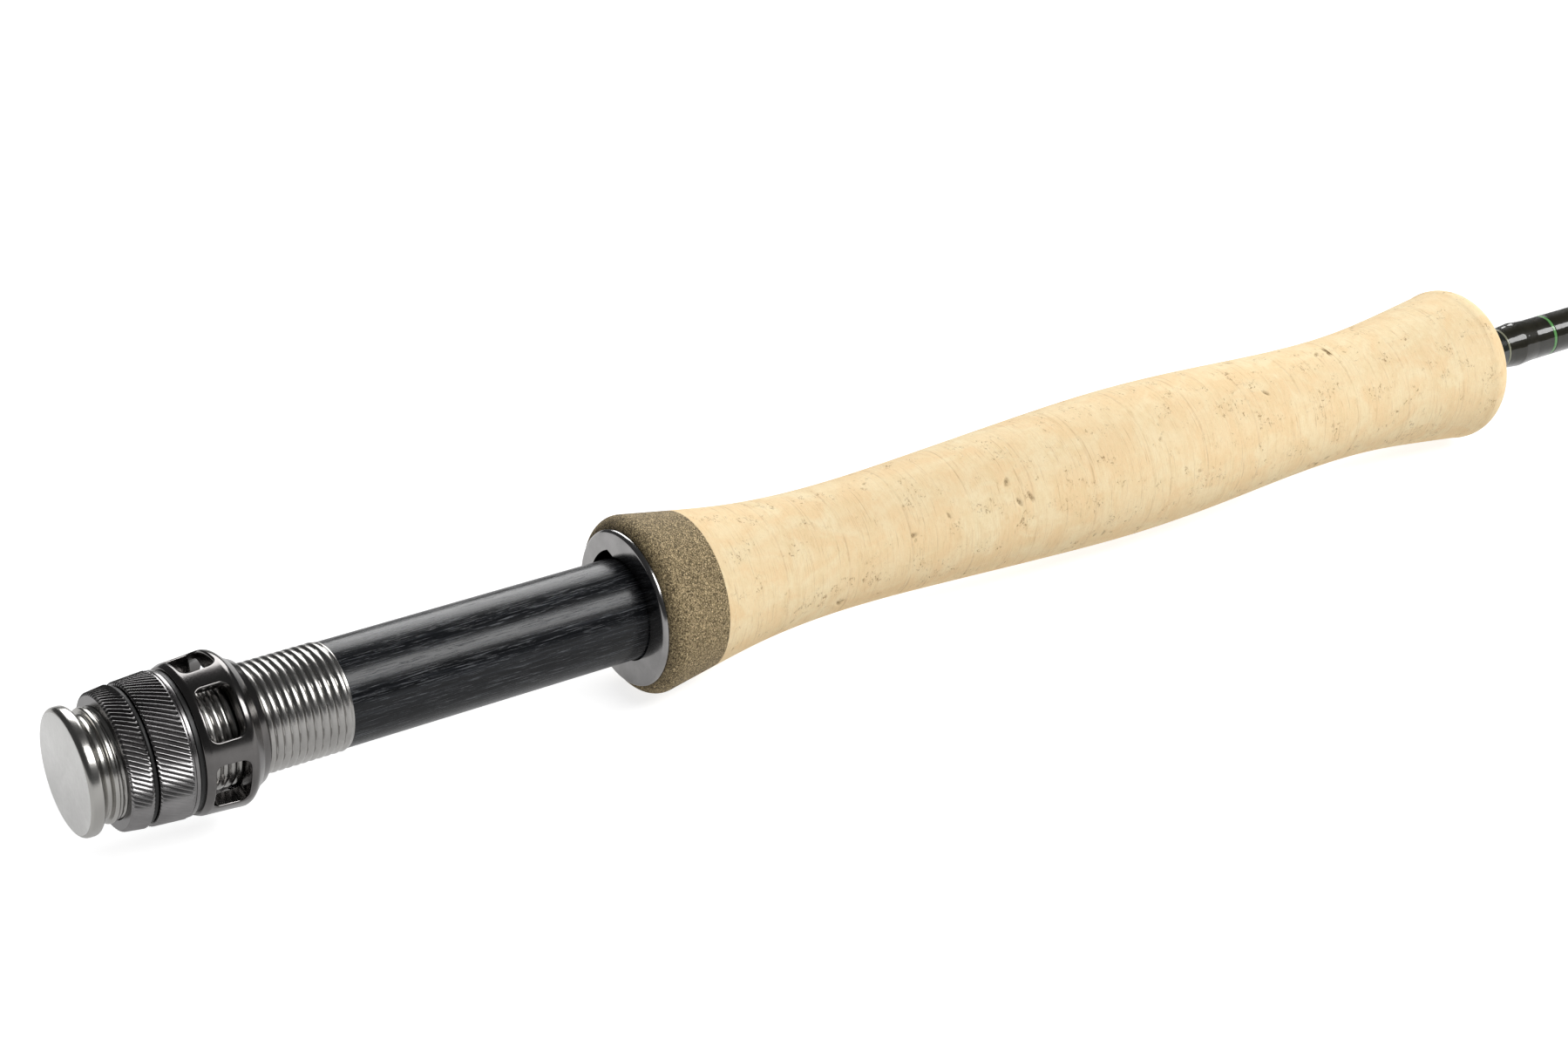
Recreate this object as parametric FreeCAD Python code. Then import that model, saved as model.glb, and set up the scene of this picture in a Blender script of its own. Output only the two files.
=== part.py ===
import FreeCAD, Part
import math
import os

# Butt section of a four-piece fly rod with its up-locking reel seat and cork grip. Millimetres.
# The rod's axis is X: the flat face of the butt cap is at the origin and +X runs towards the tip.
# +Z is up. The reel foot and the guide sit on one side of the rod, SEAT_ANGLE degrees from +Y towards +Z.

SEAT_ANGLE = 18.5

# Reel seat, stations along X and radii
CAP_RADIUS = 9.9
BARREL_REAR = 5.0
BARREL_FRONT = 42.6
THREAD_PITCH = 1.27
CREST_RADIUS = 8.70
ROOT_RADIUS = 8.10
BARREL_BORE = 6.6
CAP_SPIGOT = 8.0
INSERT_RADIUS = 8.45
INSERT_BORE = 5.6
TENON_REAR = 14.0
INSERT_FRONT = 104.0
RUNNING_GAP = 0.05

# Lock nuts and sliding hood, as they stand with the hood fully back
REAR_NUT = (5.9, 9.3)
FRONT_NUT = (10.2, 16.3)
HOOD_REAR = 17.2
HOOD_FRONT = 28.2
HOOD_CAVITY = 10.95
HOOD_LIP_BORE = 10.35
LIP_REACH = 1.1
WASHER_REAR = 16.45
WASHER_RADIUS = 10.95
SPIGOT_RADIUS = 10.25
SPIGOT_FRONT = 18.5
SNAP_GROOVE = (17.4, 18.1)
SNAP_GROOVE_RADIUS = 9.8
SNAP_RING = (17.5, 18.0)
SNAP_RING_RADII = (9.9, 10.75)
SNAP_SPLIT = 3.0
WINDOW_COUNT = 6
WINDOW_SPAN = (18.6, 24.0)
WINDOW_WIDTH = 8.4
WINDOW_CORNER = 1.3
WINDOW_EDGE = 0.3
HOOD_CONE = ((18.1, 11.75), (25.0, 12.2))
FOOT_WIDTH = 14.6
FOOT_MOUTH_RADIUS = 11.05

# Fixed hood, set in the burl ring
FIXED_FACE = 94.8
FIXED_RIM = 13.1
CUP_RADIUS = 11.7
CUP_STEP = 98.0
CUP_END = 104.5
POCKET_RADIUS = 10.1
POCKET_END = 103.4

# Grip
GRIP_REAR = 95.7
BURL_FRONT = 107.0
GRIP_FRONT = 285.5
CORK_RINGS = 14
GRIP_CURVE = [(98.4, 14.85), (104.8, 13.75), (117.8, 11.75), (136.7, 10.8), (157.0, 11.5), (179.0, 12.6),
              (198.0, 13.2), (219.0, 12.65), (242.0, 11.5), (258.0, 11.75), (270.0, 12.95), (280.0, 14.2)]
BURL_CORNER = [(GRIP_REAR, 13.5), (96.4, 14.4)]
NOSE_POINTS = [(284.2, 13.4), (285.5, 11.2)]

# Blank
BLANK_REAR = 16.0
BLANK_END = 735.0
BUTT_RADIUS = 4.15
TAPER = 0.00153
FERRULE_LENGTH = 60.0
BLANK_WALL = 0.85

# Wraps in front of the grip, stripping guide and hook keeper
CHECK_FRONT = 295.2
ACCENT_WIDTH = 0.45
TRIM_STATION = 307.8
TRIM_WIDTH = 0.8
HANDLE_WRAP_FRONT = 332.0
WRAP_THICKNESS = 0.32
KEEPER_STATION = 350.0
KEEPER_WIRE = 0.5
KEEPER_HEIGHT = 3.6
KEEPER_WRAP = (3.9, 9.5)
GUIDE_STATION = 645.0
GUIDE_HEIGHT = 12.5
GUIDE_WIRE = 0.75
GUIDE_FOOT = 13.0
GUIDE_LEG = 9.0
RING_HOLE = 4.4
RING_LENGTH = 2.2
HOLDER_LENGTH = 1.8
RING_RADIUS = 5.3
HOLDER_RADIUS = 6.3

ORIGIN = FreeCAD.Vector(0, 0, 0)
ALONG = FreeCAD.Vector(1, 0, 0)
V = FreeCAD.Vector


def blank_radius(x):
    """Outer radius of the blank, which tapers evenly up to its ground ferrule end."""
    return BUTT_RADIUS - TAPER * (min(x, BLANK_END - FERRULE_LENGTH) - BLANK_REAR)


def save(shape, node):
    """Write one sub-part as a single STEP file."""
    shape.exportStep("parts/" + node + ".step")


def corner_arc(before, here, after, radius):
    """The arc that rounds one corner of an outline."""
    back = (before - here).normalize()
    ahead = (after - here).normalize()
    half = back.getAngle(ahead) / 2
    reach = radius / math.tan(half)
    bisector = (back + ahead).normalize()
    middle = here + bisector * (radius / math.sin(half) - radius)
    return Part.Arc(here + back * reach, middle, here + ahead * reach).toShape()


def outline_wire(points):
    """A closed wire through (x, r) or (x, r, rounding) points."""
    corners = [V(p[0], p[1], 0) for p in points]
    count = len(corners)
    arcs = {}
    for i, point in enumerate(points):
        if len(point) > 2:
            arcs[i] = corner_arc(corners[i - 1], corners[i], corners[(i + 1) % count], point[2])
    edges = []
    for i in range(count):
        j = (i + 1) % count
        start = arcs[i].Vertexes[-1].Point if i in arcs else corners[i]
        end = arcs[j].Vertexes[0].Point if j in arcs else corners[j]
        edges.append(Part.makeLine(start, end))
        if j in arcs:
            edges.append(arcs[j])
    return Part.Wire(edges)


def lathe(points):
    """A solid turned about the rod's axis from an outline of (x, r) points."""
    return Part.Face(outline_wire(points)).revolve(ORIGIN, ALONG, 360)


def sleeve(outer):
    """A turned piece that sits on the blank; outer is its outside from rear to front."""
    rear = outer[0][0]
    front = outer[-1][0]
    return lathe([(rear, blank_radius(rear))] + outer + [(front, blank_radius(front))])


def face_seat(shape):
    """Turn a piece made on the +Z side so that it sits on the reel foot's side."""
    shape.rotate(ORIGIN, ALONG, SEAT_ANGLE - 90)
    return shape


def rod_between(start, end, radius):
    """A round wire between two points, with ball ends."""
    run = end - start
    wire = Part.makeCylinder(radius, run.Length, start, run)
    return wire.fuse([Part.makeSphere(radius, start), Part.makeSphere(radius, end)])


def bent_wire(points, radius):
    """A wire through a list of points, as one solid."""
    runs = [rod_between(a, b, radius) for a, b in zip(points, points[1:])]
    return runs[0].fuse(runs[1:]) if len(runs) > 1 else runs[0]


# ---- reel seat -------------------------------------------------------------------------------------

def butt_cap():
    return lathe([(0, 0), (0, CAP_RADIUS, 0.9), (2.1, CAP_RADIUS, 0.8), (2.9, 8.0, 0.8), (3.9, 7.9, 0.3),
                  (4.15, 8.85, 0.35), (BARREL_REAR, 8.85, 0.3), (BARREL_REAR, BARREL_BORE),
                  (BARREL_REAR + CAP_SPIGOT, BARREL_BORE), (BARREL_REAR + CAP_SPIGOT, 0)])


def thread_barrel():
    """The barrel, with its thread as plain rings at the true pitch, depth and outside diameter."""
    turns = int((BARREL_FRONT - BARREL_REAR) / THREAD_PITCH)
    points = [(BARREL_REAR, BARREL_BORE), (BARREL_REAR, ROOT_RADIUS)]
    for turn in range(turns):
        start = BARREL_REAR + 0.1 + turn * THREAD_PITCH
        points.append((start, ROOT_RADIUS))
        points.append((start + 0.30 * THREAD_PITCH, CREST_RADIUS, 0.12))
        points.append((start + 0.62 * THREAD_PITCH, CREST_RADIUS, 0.12))
        points.append((start + 0.92 * THREAD_PITCH, ROOT_RADIUS))
    points += [(BARREL_FRONT, ROOT_RADIUS), (BARREL_FRONT, BARREL_BORE)]
    return lathe(points)


def seat_insert():
    """The dark insert, with the tenon that runs back inside the barrel."""
    return lathe([(TENON_REAR, INSERT_BORE), (TENON_REAR, BARREL_BORE), (BARREL_FRONT, BARREL_BORE),
                  (BARREL_FRONT, INSERT_RADIUS), (INSERT_FRONT, INSERT_RADIUS), (INSERT_FRONT, INSERT_BORE)])


def arbor(rear, front):
    """A bush that centres the blank in the bore of the insert."""
    return sleeve([(rear, INSERT_BORE), (front, INSERT_BORE)])


def fixed_hood():
    """The ring set in the burl, with the pocket that takes the front of the reel foot."""
    bore = INSERT_RADIUS + RUNNING_GAP
    ring = lathe([(FIXED_FACE, bore), (FIXED_FACE, FIXED_RIM, 0.7), (CUP_STEP, FIXED_RIM),
                  (CUP_STEP, CUP_RADIUS), (CUP_END, CUP_RADIUS), (CUP_END, INSERT_BORE),
                  (INSERT_FRONT, INSERT_BORE), (INSERT_FRONT, bore)])
    pocket = lathe([(FIXED_FACE - 1, 7.0), (FIXED_FACE - 1, POCKET_RADIUS + 0.1),
                    (POCKET_END, POCKET_RADIUS - 0.7), (POCKET_END, 7.0)])
    side = Part.makeBox(POCKET_END + 1 - FIXED_FACE, FOOT_WIDTH, 20, V(FIXED_FACE - 1, -FOOT_WIDTH / 2, 0))
    return ring.cut(pocket.common(face_seat(side)))


# ---- moving pieces of the seat ------------------------------------------------------------------------

def front_lock_nut():
    bore = CREST_RADIUS + RUNNING_GAP
    rear, front = FRONT_NUT
    groove_rear, groove_front = SNAP_GROOVE
    return lathe([(rear, bore), (rear, 10.8), (rear + 0.35, 11.1), (front - 1.05, 11.42),
                  (front - 0.95, 11.15), (front - 0.7, 11.15), (front - 0.6, 11.3, 0.08), (front, 11.3, 0.2), (front, SPIGOT_RADIUS),
                  (groove_rear, SPIGOT_RADIUS), (groove_rear, SNAP_GROOVE_RADIUS),
                  (groove_front, SNAP_GROOVE_RADIUS), (groove_front, SPIGOT_RADIUS),
                  (SPIGOT_FRONT, SPIGOT_RADIUS), (SPIGOT_FRONT, bore)])


def hood_washer():
    return lathe([(WASHER_REAR, SPIGOT_RADIUS + 0.1), (WASHER_REAR, WASHER_RADIUS, 0.1),
                  (HOOD_REAR, WASHER_RADIUS), (HOOD_REAR, HOOD_LIP_BORE)])


def hood_snap_ring():
    """The split ring that keeps the hood on the nut's spigot."""
    rear, front = SNAP_RING
    inner, outer = SNAP_RING_RADII
    ring = lathe([(rear, inner), (rear, outer), (front, outer), (front, inner)])
    split = Part.makeBox(2, SNAP_SPLIT, 4, V(rear - 0.5, -SNAP_SPLIT / 2, inner - 1))
    return ring.cut(face_seat(split))


def window_cutter(index):
    """A round-cornered block that cuts one window through the hood."""
    rear, front = WINDOW_SPAN
    block = Part.makeBox(front - rear, WINDOW_WIDTH, 5, V(rear, -WINDOW_WIDTH / 2, 9.5))
    upright = [e for e in block.Edges if abs(e.tangentAt(e.FirstParameter).z) > 0.9]
    block = face_seat(block.makeFillet(WINDOW_CORNER, upright))
    block.rotate(ORIGIN, ALONG, index * 360.0 / WINDOW_COUNT)
    return block


def foot_mouth():
    """The way in for the rear of the reel foot, through the front of the sliding hood."""
    rear = WINDOW_SPAN[1] - 1.0
    room = Part.makeCylinder(FOOT_MOUTH_RADIUS, HOOD_FRONT + 1 - rear, V(rear, 0, 0), ALONG)
    side = Part.makeBox(HOOD_FRONT + 1 - rear, FOOT_WIDTH, 20, V(rear, -FOOT_WIDTH / 2, 0))
    return room.common(face_seat(side))


def on_cone(edge):
    """True for an edge that lies on the hood's outer cone, where the windows come out."""
    (x0, r0), (x1, r1) = HOOD_CONE
    for point in edge.discretize(7):
        wanted = r0 + (r1 - r0) * (point.x - x0) / (x1 - x0)
        if not x0 + 0.3 < point.x < x1 - 0.6 or abs(math.hypot(point.y, point.z) - wanted) > 0.03:
            return False
    return True


def sliding_hood():
    """The skeleton hood: a lip behind, a collar in front, and windows with rounded edges between them."""
    bore = CREST_RADIUS + RUNNING_GAP
    lip = HOOD_REAR + LIP_REACH
    cone_rear, cone_front = HOOD_CONE
    slot_rear, slot_front = SNAP_RING
    slot_radius = SNAP_RING_RADII[1]
    hood = lathe([(HOOD_REAR, HOOD_LIP_BORE), (HOOD_REAR, 11.35, 0.2), (cone_rear[0], cone_rear[1], 1.0),
                  (cone_front[0], cone_front[1], 1.5), (26.9, 10.3, 0.9), (HOOD_FRONT, 9.65, 0.3),
                  (HOOD_FRONT, bore), (26.3, bore), (25.1, HOOD_CAVITY), (lip, HOOD_CAVITY),
                  (lip, HOOD_LIP_BORE),
                  (slot_front, HOOD_LIP_BORE), (slot_front, slot_radius), (slot_rear, slot_radius),
                  (slot_rear, HOOD_LIP_BORE)])
    hood = hood.cut([window_cutter(i) for i in range(WINDOW_COUNT)])
    hood = hood.makeFillet(WINDOW_EDGE, [edge for edge in hood.Edges if on_cone(edge)])
    return hood.cut(foot_mouth())


def rear_lock_nut():
    bore = CREST_RADIUS + RUNNING_GAP
    rear, front = REAR_NUT
    return lathe([(rear, bore), (rear, 10.15), (rear + 0.45, 10.7), (front - 0.2, 11.0), (front, 10.8),
                  (front, bore)])


def jam_o_ring():
    rear = REAR_NUT[1] + 0.05
    front = FRONT_NUT[0] - 0.1
    return lathe([(rear, 8.9), (rear, 10.55, 0.25), (front, 10.55, 0.25), (front, 8.9)])


# ---- grip ---------------------------------------------------------------------------------------------

def grip_body():
    """The whole turned grip, burl ring included, bored to fit the blank."""
    curve = Part.BSplineCurve()
    curve.interpolate([V(x, r, 0) for x, r in GRIP_CURVE])
    first = curve.StartPoint
    last = curve.EndPoint
    rim, shoulder = [V(x, r, 0) for x, r in BURL_CORNER]
    bend, tip = [V(x, r, 0) for x, r in NOSE_POINTS]
    rear_corner = Part.Arc(rim, shoulder, first).toShape()
    nose = Part.Arc(last, bend, tip).toShape()
    rear_inner = V(GRIP_REAR, blank_radius(GRIP_REAR), 0)
    front_inner = V(GRIP_FRONT, blank_radius(GRIP_FRONT), 0)
    edges = [Part.makeLine(rear_inner, rim), rear_corner, curve.toShape(), nose,
             Part.makeLine(tip, front_inner), Part.makeLine(front_inner, rear_inner)]
    return Part.Face(Part.Wire(edges)).revolve(ORIGIN, ALONG, 360)


def slice_of(body, rear, front):
    """The part of a turned body between two stations."""
    return body.common(Part.makeCylinder(20, front - rear, V(rear, 0, 0), ALONG))


def burl_ring(grip):
    """The composite cork ring, counterbored for the fixed hood and the end of the insert."""
    recess = lathe([(GRIP_REAR - 1, 0), (GRIP_REAR - 1, FIXED_RIM), (CUP_STEP, FIXED_RIM),
                    (CUP_STEP, CUP_RADIUS), (CUP_END, CUP_RADIUS), (CUP_END, 0)])
    return slice_of(grip, GRIP_REAR, BURL_FRONT).cut(recess)


# ---- blank, wraps and guides --------------------------------------------------------------------------

def rod_blank():
    shoulder = BLANK_END - FERRULE_LENGTH
    rear = blank_radius(BLANK_REAR)
    front = blank_radius(BLANK_END)
    return lathe([(BLANK_REAR, rear - BLANK_WALL), (BLANK_REAR, rear), (shoulder, front),
                  (BLANK_END, front, 0.2), (BLANK_END, front - BLANK_WALL), (shoulder, front - BLANK_WALL)])


def winding_check():
    """The tapered collar against the front of the grip."""
    return sleeve([(GRIP_FRONT, 5.2, 0.4), (GRIP_FRONT + 3.0, 4.6, 2.0), (CHECK_FRONT, 3.98, 0.15)])


def wrap(rear, front, rise, crown=0.0):
    """A thread wrap under its epoxy, thickest near its rear end, with a rounded run-out."""
    thick = WRAP_THICKNESS + rise
    return sleeve([(rear, blank_radius(rear) + thick * 0.8, 0.1),
                   (rear + 1.2, blank_radius(rear) + thick, 0.8),
                   (rear + 4.2, blank_radius(rear) + thick + crown, 1.5),
                   (rear + 8.0, blank_radius(rear) + thick, 2.0),
                   (front, blank_radius(front) + thick)])


def plain_wrap(rear, front, thick):
    """A short wrap with rounded ends."""
    end = min(0.8, (front - rear) / 3)
    return sleeve([(rear, blank_radius(rear) + thick, min(end, thick * 0.6)),
                   (front, blank_radius(front) + thick, min(end, thick * 0.6))])


def hook_keeper():
    """A bent wire loop whose two feet are bound to the blank."""
    base = blank_radius(KEEPER_STATION) + KEEPER_WIRE
    top = blank_radius(KEEPER_STATION) + KEEPER_HEIGHT
    shape = [(-8.0, base), (-3.2, base), (-2.2, top - 1.0), (-1.0, top), (1.0, top), (2.2, top - 1.0),
             (3.2, base), (8.0, base)]
    wire = bent_wire([V(KEEPER_STATION + x, 0, z) for x, z in shape], KEEPER_WIRE)
    return face_seat(wire)


def guide_frame():
    """The double-foot frame of the stripping guide: holder ring, four legs and two feet."""
    base = blank_radius(GUIDE_STATION) + GUIDE_WIRE
    centre = V(GUIDE_STATION, 0, blank_radius(GUIDE_STATION) + GUIDE_HEIGHT)
    rear = V(GUIDE_STATION - HOLDER_LENGTH / 2, 0, centre.z)
    outside = Part.makeCylinder(HOLDER_RADIUS, HOLDER_LENGTH, rear, ALONG)
    frame = outside.cut(Part.makeCylinder(RING_RADIUS, HOLDER_LENGTH, rear, ALONG))
    spread = HOLDER_RADIUS - GUIDE_WIRE
    for end in (-1, 1):
        toe = V(GUIDE_STATION + end * (GUIDE_LEG + GUIDE_FOOT), 0, base)
        heel = V(GUIDE_STATION + end * GUIDE_LEG, 0, base)
        pieces = [rod_between(heel, toe, GUIDE_WIRE)]
        for side in (-1, 1):
            top = V(GUIDE_STATION + end * 0.6, side * spread * 0.98, centre.z - 1.5)
            knee = V(GUIDE_STATION + end * 4.6, side * spread * 0.55, (base + centre.z) / 2 - 1.5)
            pieces.append(bent_wire([heel, knee, top], GUIDE_WIRE))
        frame = frame.fuse(pieces)
    hole = Part.makeCylinder(RING_RADIUS, 12, V(GUIDE_STATION - 6, 0, centre.z), ALONG)
    return face_seat(frame.cut(hole).removeSplitter())


def guide_ring():
    """The smooth ceramic ring pressed in the holder."""
    half = RING_LENGTH / 2
    ring = lathe([(-half, RING_HOLE, 0.5), (-half, RING_RADIUS, 0.2), (half, RING_RADIUS, 0.2),
                  (half, RING_HOLE, 0.5)])
    ring.translate(V(GUIDE_STATION, 0, blank_radius(GUIDE_STATION) + GUIDE_HEIGHT))
    return face_seat(ring)


def foot_wrap(bound, rear, front, wire):
    """A wrap drawn tight over the blank and a foot of that wire radius lying on it."""
    station = (rear + front) / 2
    round_blank = blank_radius(rear) + WRAP_THICKNESS
    round_foot = wire + WRAP_THICKNESS
    lift = blank_radius(station) + wire
    lean = math.acos((round_blank - round_foot) / lift)
    side = V(rear, math.sin(lean), math.cos(lean)) - V(rear, 0, 0)
    low = V(rear, 0, 0) + side * round_blank
    high = V(rear, 0, lift) + side * round_foot
    mirror_low = V(rear, -low.y, low.z)
    mirror_high = V(rear, -high.y, high.z)
    edges = [Part.makeLine(low, high), Part.Arc(high, V(rear, 0, lift + round_foot), mirror_high).toShape(),
             Part.makeLine(mirror_high, mirror_low), Part.Arc(mirror_low, V(rear, 0, -round_blank), low).toShape()]
    tube = Part.Face(Part.Wire(edges)).extrude(V(front - rear, 0, 0))
    core = lathe([(rear - 1, 0), (rear - 1, blank_radius(rear - 1)), (front + 1, blank_radius(front + 1)),
                  (front + 1, 0)])
    return face_seat(tube).cut([bound, core])


# ---- build --------------------------------------------------------------------------------------------

os.makedirs("parts", exist_ok=True)

save(butt_cap(), "butt_cap")
save(thread_barrel(), "thread_barrel")
save(seat_insert(), "seat_insert")
save(arbor(20.0, 32.0), "rear_arbor")
save(arbor(54.0, 66.0), "middle_arbor")
save(arbor(88.0, 100.0), "front_arbor")
save(fixed_hood(), "fixed_hood")

save(rear_lock_nut(), "rear_lock_nut")
save(jam_o_ring(), "jam_o_ring")
save(front_lock_nut(), "front_lock_nut")
save(hood_washer(), "hood_washer")
save(hood_snap_ring(), "hood_snap_ring")
save(sliding_hood(), "sliding_hood")

grip = grip_body()
save(burl_ring(grip), "burl_ring")
ring_length = (GRIP_FRONT - BURL_FRONT) / CORK_RINGS
for number in range(CORK_RINGS):
    ring_rear = BURL_FRONT + number * ring_length
    save(slice_of(grip, ring_rear, ring_rear + ring_length), "cork_ring_%02d" % (number + 1))

blank = rod_blank()
save(blank, "rod_blank")
save(winding_check(), "winding_check")
wrap_rear = CHECK_FRONT + ACCENT_WIDTH
trim_front = TRIM_STATION + TRIM_WIDTH
save(plain_wrap(CHECK_FRONT, wrap_rear, WRAP_THICKNESS), "accent_band")
save(wrap(wrap_rear, TRIM_STATION, 0.0, 0.28), "handle_wrap_rear")
save(plain_wrap(TRIM_STATION, trim_front, WRAP_THICKNESS), "handle_trim_band")
save(plain_wrap(trim_front, HANDLE_WRAP_FRONT, WRAP_THICKNESS), "handle_wrap_front")

keeper = hook_keeper().cut(blank)
save(keeper, "hook_keeper")
near, far = KEEPER_WRAP
save(foot_wrap(keeper, KEEPER_STATION - far, KEEPER_STATION - near, KEEPER_WIRE), "keeper_wrap_rear")
save(foot_wrap(keeper, KEEPER_STATION + near, KEEPER_STATION + far, KEEPER_WIRE), "keeper_wrap_front")

frame = guide_frame().cut(blank)
save(frame, "guide_frame")
save(guide_ring(), "guide_ring")
wrap_reach = GUIDE_LEG + GUIDE_FOOT + 3.0
wrap_start = GUIDE_LEG + 1.2
rear_wrap = (GUIDE_STATION - wrap_reach, GUIDE_STATION - wrap_start)
front_wrap = (GUIDE_STATION + wrap_start, GUIDE_STATION + wrap_reach)
save(foot_wrap(frame, rear_wrap[0], rear_wrap[1], GUIDE_WIRE), "guide_wrap_rear")
save(foot_wrap(frame, front_wrap[0], front_wrap[1], GUIDE_WIRE), "guide_wrap_front")
save(plain_wrap(rear_wrap[0] - TRIM_WIDTH, rear_wrap[0], WRAP_THICKNESS), "guide_trim_rear")
save(plain_wrap(front_wrap[1], front_wrap[1] + TRIM_WIDTH, WRAP_THICKNESS), "guide_trim_front")
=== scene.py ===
"""Looks for the butt section of a fly rod: metal reel seat, cork grip, wrapped blank and stripping guide."""
import math

import bmesh
import bpy
import numpy as np
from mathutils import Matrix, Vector


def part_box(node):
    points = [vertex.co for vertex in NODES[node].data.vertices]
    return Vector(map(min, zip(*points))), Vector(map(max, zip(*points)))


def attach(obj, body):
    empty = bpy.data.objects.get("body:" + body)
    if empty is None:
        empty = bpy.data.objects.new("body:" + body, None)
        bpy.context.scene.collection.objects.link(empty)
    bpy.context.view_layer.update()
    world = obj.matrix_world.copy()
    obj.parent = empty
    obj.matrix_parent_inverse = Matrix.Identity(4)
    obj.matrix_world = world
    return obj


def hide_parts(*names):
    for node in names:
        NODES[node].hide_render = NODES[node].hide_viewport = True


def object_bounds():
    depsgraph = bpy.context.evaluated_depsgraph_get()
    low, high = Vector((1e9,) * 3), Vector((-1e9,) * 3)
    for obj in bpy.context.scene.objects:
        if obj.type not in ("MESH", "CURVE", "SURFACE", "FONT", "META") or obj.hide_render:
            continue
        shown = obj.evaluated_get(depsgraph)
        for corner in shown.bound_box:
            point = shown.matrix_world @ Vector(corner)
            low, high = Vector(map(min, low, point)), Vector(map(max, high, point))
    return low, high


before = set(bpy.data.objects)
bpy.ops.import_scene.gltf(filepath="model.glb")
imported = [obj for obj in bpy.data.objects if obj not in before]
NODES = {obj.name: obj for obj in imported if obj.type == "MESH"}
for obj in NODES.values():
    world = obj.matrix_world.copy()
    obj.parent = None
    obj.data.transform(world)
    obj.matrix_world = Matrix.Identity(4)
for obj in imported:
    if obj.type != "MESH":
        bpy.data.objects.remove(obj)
CAD_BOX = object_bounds()

MM = 0.001
TURN = 2 * math.pi
SEED = 11
SHARP_EDGE = 35

# Thread and knurl, in millimetres; the tooth runs across one leaning ridge, from groove to groove, as
# (place, share of the depth cut away)
PITCH = 1.27
THREAD_DEPTH = 0.36
KNURL_COUNT = 84
KNURL_DEPTH = 0.46
KNURL_TOOTH = ((0.0, 1.0), (0.04, 0.97), (0.08, 0.88), (0.2, 0.735), (0.35, 0.555), (0.5, 0.375), (0.65, 0.195),
               (0.78, 0.04), (0.84, 0.0), (0.88, 0.06), (0.92, 0.4), (0.96, 0.85))
KNURL_ANGLE = math.radians(30)

# Radii that several pieces share, in millimetres
SEAT_BORE = 6.6
INSERT_BORE = 5.6
NUT_BORE = 8.75

# The fixed ring behind its face: where it narrows, the cup it sits in, and its bore
RING_STEP = 3.2
RING_CUP = 11.7
RING_BORE = 8.62

# The blank's taper, as radius lost along its length, up to the parallel ferrule end
BLANK_TAPER = 0.00153
FERRULE_LENGTH = 60.0

# Hood windows and the foot's way in: places run from the hood's rear, in millimetres
SEAT_ANGLE = math.radians(18.5)
WINDOW_COUNT = 6
WINDOW_SPAN = (1.4, 6.8)
WINDOW_WIDTH = 8.4
WINDOW_CORNER = 1.3
WINDOW_EDGE = 0.35
HOOD_CONE = ((0.9, 11.75), (7.8, 12.2))
HOOD_CAVITY = ((1.5, 10.4), (3.2, 9.5))
FOOT_WIDTH = 14.6
FOOT_MOUTH_RADIUS = 11.05

# The grip's outside, as (station, radius) points in millimetres, and its rounded nose
GRIP_CURVE = [(98.4, 14.85), (104.8, 13.75), (117.8, 11.75), (136.7, 10.8), (157.0, 11.5), (179.0, 12.6),
              (198.0, 13.2), (219.0, 12.65), (242.0, 11.5), (258.0, 11.75), (270.0, 12.95), (280.0, 14.2)]
GRIP_REAR_ARC = [(95.7, 13.5), (96.4, 14.4), (98.4, 14.85)]
GRIP_NOSE_ARC = [(280.0, 14.2), (284.2, 13.4), (285.5, 11.2)]

# Fine marks on the finishes, in millimetres: turning marks on metal, and the wraps' thread turn by turn
TURNING_PITCH = 0.08
THREAD_SPACING = 0.16

# The floor, in metres, its own glow in every ray, and the glow added for the camera
FLOOR_SIZE = (1.8, 1.4)
FLOOR_MIDDLE = 0.37
FLOOR_GLOW = 0.37
FLOOR_GLOW_SEEN = 0.43


# ---- stations read from the frame ----------------------------------------------------------------------

def span(node):
    """Rear and front station of a CAD node, in millimetres."""
    low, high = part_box(node)
    return low.x / MM, high.x / MM


def outer(node):
    """Largest radius of a CAD node, in millimetres."""
    low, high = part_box(node)
    return (high.z - low.z) / 2 / MM


def blank_radius(x):
    """Outside of the tapered blank at a station."""
    rear, front = span("rod_blank")
    return outer("rod_blank") - BLANK_TAPER * (min(x, front - FERRULE_LENGTH) - rear)


# ---- mesh helpers --------------------------------------------------------------------------------------

def finish_piece(mesh, name, body, material, node, sharp=SHARP_EDGE):
    """Link a mesh as one piece, let it ride on its body and stand for its CAD node."""
    mesh.materials.append(material)
    for polygon in mesh.polygons:
        polygon.use_smooth = True
    mesh.set_sharp_from_angle(angle=math.radians(sharp))
    piece = bpy.data.objects.new(name, mesh)
    bpy.context.scene.collection.objects.link(piece)
    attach(piece, body)
    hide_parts(node)
    return piece


def skin(name, points):
    """A closed mesh over a grid of points (rows, around, 3) that wraps both ways."""
    rows, around = points.shape[:2]
    index = np.arange(rows * around).reshape(rows, around)
    right = np.roll(index, -1, axis=1)
    faces = np.stack([index, np.roll(index, -1, axis=0), np.roll(right, -1, axis=0), right], axis=-1)
    mesh = bpy.data.meshes.new(name)
    mesh.from_pydata((points.reshape(-1, 3) * MM).tolist(), [], faces.reshape(-1, 4).tolist())
    mesh.validate()
    face_outwards(mesh, merge=0.0025)
    return mesh


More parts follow.
